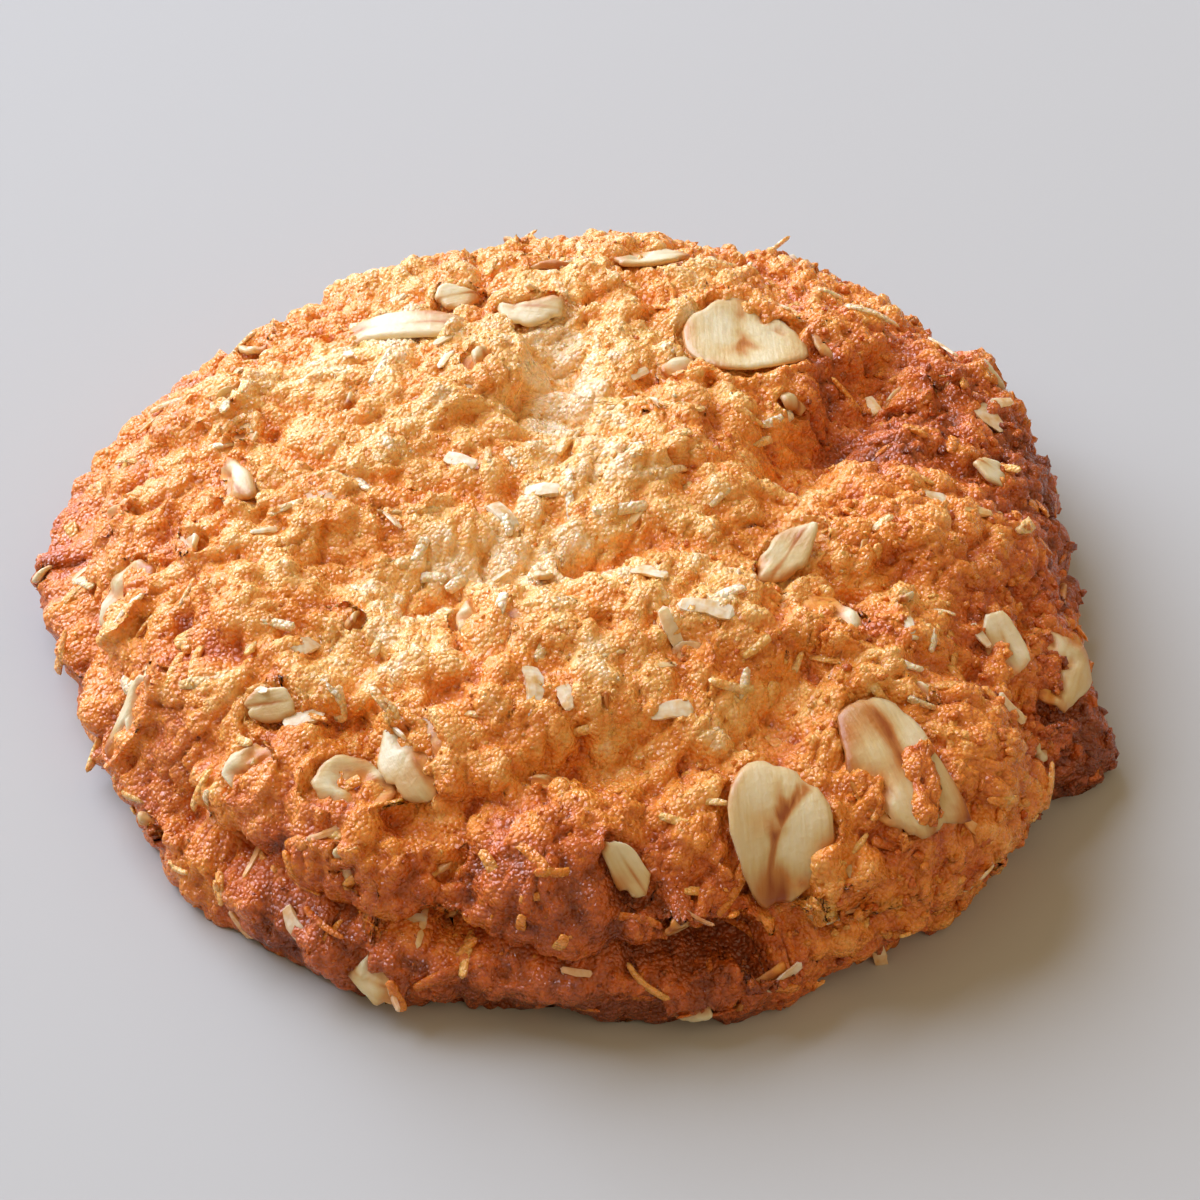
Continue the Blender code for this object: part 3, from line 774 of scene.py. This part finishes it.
def oat_shape(length, width, seed, torn=None):
    """Points of a squashed ball, in mm: an oval with straight breaks and nicks, or its torn outline."""
    draw = np.random.default_rng(seed)
    around = np.arange(OAT_AROUND) / OAT_AROUND * 2 * math.pi
    face = np.array(OAT_PROFILE)
    spread = np.concatenate([face[:, 0], [1], face[::-1, 0]])
    thick = np.concatenate([face[:, 1], [0], -face[::-1, 1]])
    ragged = 1 + sum(draw.uniform(0.01, 0.04) * np.sin(k * around + draw.uniform(0, 6)) for k in (2, 3, 5, 9))
    for way in draw.uniform(0, 2 * math.pi, 6):
        facing = np.cos(around - way)
        straight = draw.uniform(0.72, 0.96) / np.maximum(facing, 0.3)
        ragged = np.where(facing > 0.3, np.minimum(ragged, straight), ragged)
    if torn:
        ragged = np.interp(around, np.arange(17) / 16 * 2 * math.pi, [*torn, torn[0]])
    for way in draw.uniform(0, 2 * math.pi, 3):
        nick = np.clip(1 - np.arccos(np.cos(around - way)) / 0.2, 0, 1)
        ragged = ragged - draw.uniform(0.03, 0.07 if torn else 0.16) * nick
    ragged = ragged * (1 + 0.02 * draw.uniform(-1, 1, OAT_AROUND))
    x = np.concatenate([[0], (spread[:, None] * ragged * np.cos(around)).ravel(), [0]]) * length / 2
    y = np.concatenate([[0], (spread[:, None] * ragged * np.sin(around)).ravel(), [0]]) * width / 2
    z = np.concatenate([[1], np.repeat(thick, OAT_AROUND), [-1]]) * OAT_THICKNESS / 2
    groove = np.exp(-((y / (0.07 * width)) ** 2)) * (z > 0) * draw.choice((0, 0, 0.05))
    buckle = 0.12 * waves(np.stack([x, y, np.full_like(x, seed)], 1), 2.6, seed)
    return x, y, z - groove + buckle


def creased(x, y, flake):
    """How brown the creases of a flake are at each place, with painted shade in a hollow: a bell over the
    distance to their runs.
    """
    flat, total = np.stack([x, y], 1), np.zeros_like(x)
    for owner, corners, width, brown in CREASES:
        if owner == flake:
            first, second, third = np.array(corners)
            away = np.minimum(distance_to_run(flat, first, second), distance_to_run(flat, second, third))
            total = np.maximum(total, brown * np.exp(-((away / width) ** 2)))
    return total


def oats(rows, seats, seed):
    """Points, flat map, smear and edge tan of every oat, with painted shade in a hollow, each laid on its
    patch in its frame.
    """
    points, flat_map, coat, edge = [], [], [], []
    for index, (row, (origin, along, across, normal, sheet)) in enumerate(zip(rows, seats)):
        length, width, lean, smear, side = np.linalg.norm(row[1] - row[0]), *row[2:]
        named = index if seed == 100 else None
        x, y, z = oat_shape(length, width, seed + index, TORN.get(named))
        covered = smeared(x, y, length, width, smear, side, seed - 100 + index)
        lift = patch(x, y) @ sheet + (0.15 - 0.5 * covered if abs(lean) <= PRESS_LEAN else 0.3)
        crease = creased(x / length * 2, y / width * 2, named)
        lift = lift - 0.10 * crease
        points.append(origin + x[:, None] * along + y[:, None] * across + (z + lift)[:, None] * normal)
        flat_map.append(np.stack([x + 20 * index, y], 1))
        rim = np.hypot(x / length * 2, y / width * 2)
        mess = waves(np.stack([x, y, np.full_like(x, 9 * index)], 1), 2.6, seed + 50)
        coat.append(np.clip(covered + 0.5 * mess - 0.1, 0, 1))
        groove = np.exp(-(((y / width - 0.08 * mess) / 0.05) ** 2)) * np.clip(0.6 + 1.5 * mess, 0, 1)
        stain = (0.3 if crease.any() else 0.8) * mess
        edge.append(np.clip(0.20 + 0.25 * rim**4 + stain + 0.4 * groove + crease, 0, 1))
    return [np.concatenate(part) for part in (points, flat_map, coat, edge)]


print("an oat has", len(oat_shape(9, 6, 1)[0]), "points")

# %% [markdown]
# ## What an oat looks like
# Steamed starch in a thin skin of bran. Light sinks into the starch, so a flake looks waxy and not
# chalky, and the bran's fibres run along it as faint streaks. Its torn edge and its groove baked
# tan, and dough that crept over it hides the rest.

# %% Oat finish
OAT_SWATCHES = ((0.05, "#DFD5B2"), (0.35, "#D0B884"), (0.65, "#B87A3C"), (0.95, "#944A18"))
SMEAR_SWATCHES = ((0.3, "#E8A850"), (0.55, "#D98434"), (0.75, "#B45C20"))


def rolled_oat():
    finish = new_finish("rolled oat")
    tree = finish.node_tree
    flat = add_node(tree, "TexCoord").outputs["UV"]
    where = add_node(tree, "TexCoord").outputs["Object"]
    stretch = add_node(tree, "Mapping", {"Vector": flat, "Scale": (0.35, 3.2, 1.0)})
    fibre = clouds(tree, stretch.outputs[0], 1.0, 3.0)
    cream = mottled(tree, per_point(tree, "edge"), fibre, -0.13, 0.13, OAT_SWATCHES)
    speck = clouds(tree, where, 0.6 * MM, 3.0)
    dough = add_node(tree, "ValToRGB", {"Fac": speck.outputs["Fac"]}, stops=SMEAR_SWATCHES)
    bump = add_node(tree, "Bump", {"Height": fibre.outputs["Fac"], "Strength": 0.5, "Distance": 0.10 * MM})
    bump = add_node(tree, "Bump", {
        "Height": speck.outputs["Fac"], "Normal": bump.outputs[0], "Strength": 0.5, "Distance": 0.15 * MM,
    })
    return close_finish(finish, {
        "Base Color": blended(tree, per_point(tree, "coat"), cream, dough), "Roughness": 0.36,
        "Normal": bump.outputs[0], "IOR": 1.45,
        "Subsurface Weight": 0.35, "Subsurface Radius": (1.0, 0.7, 0.4), "Subsurface Scale": 0.8 * MM,
    })


OAT = rolled_oat()
oat_faces = ball_faces(OAT_RINGS, OAT_AROUND)
kinds = (("whole_oats", whole_oats, oat_seats, 100), ("broken_oats", broken_oats, broken_seats, 200))
for name, rows, seats, seed in kinds:
    points, flat_map, coat, edge = oats(rows, seats, seed)
    points[:, 2] = np.maximum(points[:, 2], 0.02)
    faces = copies_of(oat_faces, 2 + OAT_RINGS * OAT_AROUND, len(rows))
    part_of_biscuit(add_piece(name, points, faces, OAT, {"coat": coat, "edge": edge}, flat_map))

# %% [markdown]
# ## Spots on the crust
# Crumbs and shreds land anywhere but on the three largest flakes, which were last to be covered
# and stayed clean. A spot is drawn by area: a face twice as large is twice as likely. Each spot
# brings its point, its normal, and how browned it is, with painted shade included.

# %% Spots on the crust
def on_large_oats(points):
    """Which points lie on or under one of the three largest flakes."""
    found = np.zeros(len(points), bool)
    for (start, end, width, *rest), (origin, along, across, normal, sheet) in zip(whole_oats[:3], oat_seats):
        x, y, z = ((points - origin) @ np.stack([along, across, normal], 1)).T
        found |= (np.hypot(x / np.linalg.norm(end - start), y / width) < 0.55) & (abs(z) < REACHED)
    return found


def crust_spots(count, seed):
    """Points, normals and browned tone with painted shade at faces of the crust, drawn by area, above the
    foot, off large oats.
    """
    corners = crust[quads]
    area = np.linalg.norm(np.cross(corners[:, 2] - corners[:, 0], corners[:, 3] - corners[:, 1]), axis=1)
    area = area * (reach[quads].max(1) < 0.985) * ~on_large_oats(corners.mean(1))
    chosen = np.random.default_rng(seed).choice(len(quads), count, p=area / area.sum())
    return corners[chosen].mean(1), calm_normals[quads[chosen, 0]], bake_and_shade[quads[chosen, 0]]


def turned(count, draw):
    """A random turn for each of count things: three axes at right angles, from unit quaternions."""
    quaternions = draw.normal(size=(4, count))
    w, x, y, z = quaternions / np.linalg.norm(quaternions, axis=0)
    return np.stack([
        np.stack([1 - 2 * (y * y + z * z), 2 * (x * y - z * w), 2 * (x * z + y * w)], 1),
        np.stack([2 * (x * y + z * w), 1 - 2 * (x * x + z * z), 2 * (y * z - x * w)], 1),
        np.stack([2 * (x * z - y * w), 2 * (y * z + x * w), 1 - 2 * (x * x + y * y)], 1),
    ], 1)


print("mean crust spot, mm:", crust_spots(500, 1)[0].mean(0).round(1))

# %% [markdown]
# ## Crumbs
# Between the cobbles lie loose grains of dough, from sand to half a peppercorn. A crumb is a ball
# of a few dozen faces with every point pulled in or out at random, half sunk in the crust.

# %% Crumbs
CRUMBS, CRUMB_RINGS, CRUMB_AROUND = 4400, 3, 7


def crumbs(count, seed):
    """Balls of uneven points, each stretched, turned and sunk at its own spot."""
    draw = np.random.default_rng(seed)
    spots, normals, baked_and_shaded = crust_spots(count, seed)
    turn = np.linspace(0, math.pi, CRUMB_RINGS + 2)[1:-1, None]
    around = np.arange(CRUMB_AROUND) / CRUMB_AROUND * 2 * math.pi
    level = np.cos(turn) + 0 * around
    rings = np.stack([np.sin(turn) * np.cos(around), np.sin(turn) * np.sin(around), level], -1)
    ball = np.concatenate([[[0, 0, 1]], rings.reshape(-1, 3), [[0, 0, -1]]])
    radius = 0.13 + 0.42 * draw.uniform(0, 1, (count, 1)) ** 3
    stretch = draw.uniform(0.65, 1.3, (count, 1, 3))
    lumpy = ball * draw.uniform(0.55, 1.25, (count, len(ball), 1)) * stretch * radius[:, None]
    lumpy = np.einsum("nij,nvj->nvi", turned(count, draw), lumpy)
    middle = spots + normals * (radius * draw.uniform(-0.8, 0.1, (count, 1)))
    tone = np.clip(baked_and_shaded + draw.normal(0, 0.10, count), 0, 1)
    return (middle[:, None] + lumpy).reshape(-1, 3), np.repeat(tone, len(ball))


points, tone = crumbs(CRUMBS, SEED + 20)
points[:, 2] = np.maximum(points[:, 2], 0)
faces = copies_of(ball_faces(CRUMB_RINGS, CRUMB_AROUND), 2 + CRUMB_RINGS * CRUMB_AROUND, CRUMBS)
part_of_biscuit(add_piece("crumbs", points, faces, DOUGH, {"bake_and_shade": tone}))

# %% [markdown]
# ## Coconut
# Desiccated coconut is cut in slivers 1 to 5 mm long and about 1 mm wide. Most are glazed with
# dough and show only as little ridges. A few on top stayed white, and those are named by the
# places of their ends. Some more pale ones are strewn. A sliver is a ball stretched along its
# length and squared off. Pale ones are shaded flat, because a cutter leaves them with faces.

# %% The shape of the slivers
SLIVER_RINGS, SLIVER_AROUND = 5, 6
# (direction, reach) of one end, (direction, reach) of the other, width
SHREDS = (
    ((-94, 0.43), (-93, 0.52), 1.1),
    ((-86, 0.45), (-85, 0.49), 1.0),
    ((-76, 0.50), (-69, 0.50), 1.2),
    ((-135, 0.55), (-134, 0.49), 1.5),
    ((-128, 0.65), (-124, 0.60), 1.3),
    ((-120, 0.10), (-85, 0.09), 1.2),
    ((-173, 0.19), (-157, 0.14), 1.1),
    ((-68, 0.26), (-60, 0.30), 1.4),
    ((-62, 0.36), (-54, 0.41), 1.2),
    ((-130, 0.15), (-109, 0.17), 1.2),
    ((-7, 0.54), (-6, 0.59), 1.4),
    ((20, 0.68), (16, 0.72), 1.7),
    ((-92, 0.83), (-89, 0.89), 1.3),
    ((-118, 0.86), (-115, 0.88), 1.2),
)


def named_beds():
    """Middle, upward and long axis, half length, half width and browned tone with painted shade of each named
    sliver.
    """
    beds = []
    for start, end, width in SHREDS:
        middle, run = (place(*start) + place(*end)) / 2, place(*end) - place(*start)
        nearest = ((crust - middle) ** 2).sum(1).argmin()
        near = np.linalg.norm(crust - crust[nearest], axis=1) < 1.2
        up = calm_normals[near].mean(0)
        up /= np.linalg.norm(up)
        top = np.percentile((crust[near] - crust[nearest]) @ up, 60)
        half_length, half_width = [np.linalg.norm(run) / 2], [width / 2]
        beds.append((crust[nearest] + top * up, up, run, half_length, half_width, bake_and_shade[nearest]))
    return [np.array(part) for part in zip(*beds)]


def strewn_beds(count, seed, lowest, highest):
    """The same for slivers strewn by area, their middles between two heights over the crust."""
    draw = np.random.default_rng(seed)
    spots, up, baked_and_shaded = crust_spots(count, seed)
    up = up + draw.normal(0, 0.08, (count, 3))
    half_length = 0.9 + 1.3 * draw.uniform(0, 1, (count, 1)) ** 2
    half_width = draw.uniform(0.22, 0.48, (count, 1))
    middle = spots + up * draw.uniform(lowest, highest, (count, 1))
    return middle, up, draw.normal(size=(count, 3)), half_length, half_width, baked_and_shaded


def slivers(beds, seed, most_coat):
    """A ball on each bed, stretched, squared by powers of its sines, and bent along its length."""
    middle, up, run, length, width, baked_and_shaded = beds
    draw, count = np.random.default_rng(seed), len(middle)
    turn = np.linspace(0, math.pi, SLIVER_RINGS + 2)
    blunt = np.sin(turn[1:-1]) ** 0.3
    around = (np.arange(SLIVER_AROUND) + 0.5) / SLIVER_AROUND * 2 * math.pi
    broad, deep = (np.sign(part) * abs(part) ** 0.4 for part in (np.cos(around), np.sin(around)))
    x = np.concatenate([[1], np.repeat(np.cos(turn[1:-1]), SLIVER_AROUND), [-1]]) * length
    y = np.concatenate([[0], (blunt[:, None] * broad).ravel(), [0]]) * width
    y = y * (1 - draw.uniform(-0.4, 0.4, (count, 1)) * x / length)
    y = y * draw.uniform(0.75, 1.1, (count, len(y[0])))
    z = np.concatenate([[0], (blunt[:, None] * deep).ravel(), [0]]) * draw.uniform(0.10, 0.18, (count, 1))
    y = y + draw.uniform(-0.10, 0.10, (count, 1)) * x * x
    z = z - draw.uniform(0.0, 0.10, (count, 1)) * x * x
    up = up / np.linalg.norm(up, axis=1, keepdims=True)
    across = np.cross(up, run)
    across /= np.linalg.norm(across, axis=1, keepdims=True)
    along = np.cross(across, up)
    spans = ((x, along), (y, across), (z, up))
    points = middle[:, None] + sum(part[..., None] * axis[:, None] for part, axis in spans)
    points = points.reshape(-1, 3)
    points[:, 2] = np.maximum(points[:, 2], 0)
    each = 2 + SLIVER_RINGS * SLIVER_AROUND
    faces = copies_of(ball_faces(SLIVER_RINGS, SLIVER_AROUND), each, count)
    tone = np.clip(baked_and_shaded - draw.uniform(0.05, 0.40, count), 0, 1)
    return points, faces, np.repeat(draw.uniform(0, most_coat, count), each), np.repeat(tone, each)


print("a sliver has", len(ball_faces(SLIVER_RINGS, SLIVER_AROUND)), "faces")

# %% [markdown]
# ## What coconut looks like
# Dried coconut is white fat and fibre. It lets light in, so a sliver looks creamy at its edges,
# and it tans in spots where it stands in the oven's air. A glazed one takes the dough's finish.

# %% Coconut finish
WHITE_SWATCHES = ((0.35, "#ECDFC4"), (0.70, "#D2A868"))


def desiccated_coconut():
    finish = new_finish("desiccated coconut")
    tree = finish.node_tree
    where = add_node(tree, "TexCoord").outputs["Object"]
    speck = clouds(tree, where, 0.7 * MM, 2.0)
    white = add_node(tree, "ValToRGB", {"Fac": speck.outputs["Fac"]}, stops=WHITE_SWATCHES)
    dough = mottled(tree, per_point(tree, "bake_and_shade"), speck, -0.25, 0.10, DOUGH_SWATCHES)
    bump = add_node(tree, "Bump", {"Height": speck.outputs["Fac"], "Strength": 0.5, "Distance": 0.15 * MM})
    return close_finish(finish, {
        "Base Color": blended(tree, per_point(tree, "coat"), white, dough), "Roughness": 0.40,
        "Normal": bump.outputs[0], "IOR": 1.45,
        "Subsurface Weight": 0.4, "Subsurface Radius": (1.0, 0.7, 0.4), "Subsurface Scale": 0.8 * MM,
    })


COCONUT = desiccated_coconut()
pale = (("white_coconut", named_beds(), 0.2), ("coconut", strewn_beds(44, SEED + 30, -0.10, 0.04), 0.8))
for name, beds, most_coat in pale:
    points, faces, coat, tone = slivers(beds, SEED + 30, most_coat)
    white = add_piece(name, points, faces, COCONUT, {"coat": coat, "bake_and_shade": tone})
    white.data.shade_flat()
    part_of_biscuit(white)
points, faces, coat, tone = slivers(strewn_beds(300, SEED + 31, -0.12, 0.02), SEED + 31, 0)
part_of_biscuit(add_piece("glazed_coconut", points, faces, DOUGH, {"bake_and_shade": tone}))

# %% [markdown]
# ## Floor and light
# A biscuit is looked at by a window: one broad cool light from behind and to the left, a low
# strip of the same daylight off the sill that rakes over the grains, and the room's warm bounce
# from everywhere else. The broad light's size sets how soft the shadow is. The floor is matt card,
# which takes that shadow and gives back no glints.

# %% Floor and light
def add_light(name, spot, size, power, swatch):
    """A square lamp at a spot in metres, facing the biscuit."""
    data = bpy.data.lights.new(name, "AREA")
    data.size, data.energy, data.color = size, power, linear(swatch)[:3]
    lamp = bpy.data.objects.new(name, data)
    lamp.location = spot
    lamp.rotation_euler = (-lamp.location).to_track_quat("-Z", "Y").to_euler()
    bpy.context.scene.collection.objects.link(lamp)


def floor_finish():
    return close_finish(new_finish("pale matt card"), {"Base Color": linear("#B4B6B4"), "Roughness": 0.9})


spread = np.linspace(-1500, 1500, 5)
flat = np.stack(np.meshgrid(spread, spread, [0.0], indexing="ij"), -1).reshape(-1, 3)
floor_quads = grid_faces(4)[0]
add_piece("floor", flat, floor_quads.tolist(), floor_finish())

add_light("window", (-0.76, 0.68, 0.70), 1.2, 35.0, "#DCE7FF")
add_light("sill", (-0.45, 1.10, 0.24), 1.0, 7.5, "#DCE7FF")
add_light("room", (0.7, -0.6, 0.9), 1.2, 2.4, "#FFE9CC")

world = bpy.data.worlds.new("room")
world.use_nodes = True
world.node_tree.nodes["Background"].inputs["Color"].default_value = linear("#FFDDAC")
world.node_tree.nodes["Background"].inputs["Strength"].default_value = 0.44
bpy.context.scene.world = world
bpy.context.scene.view_settings.view_transform = "Standard"
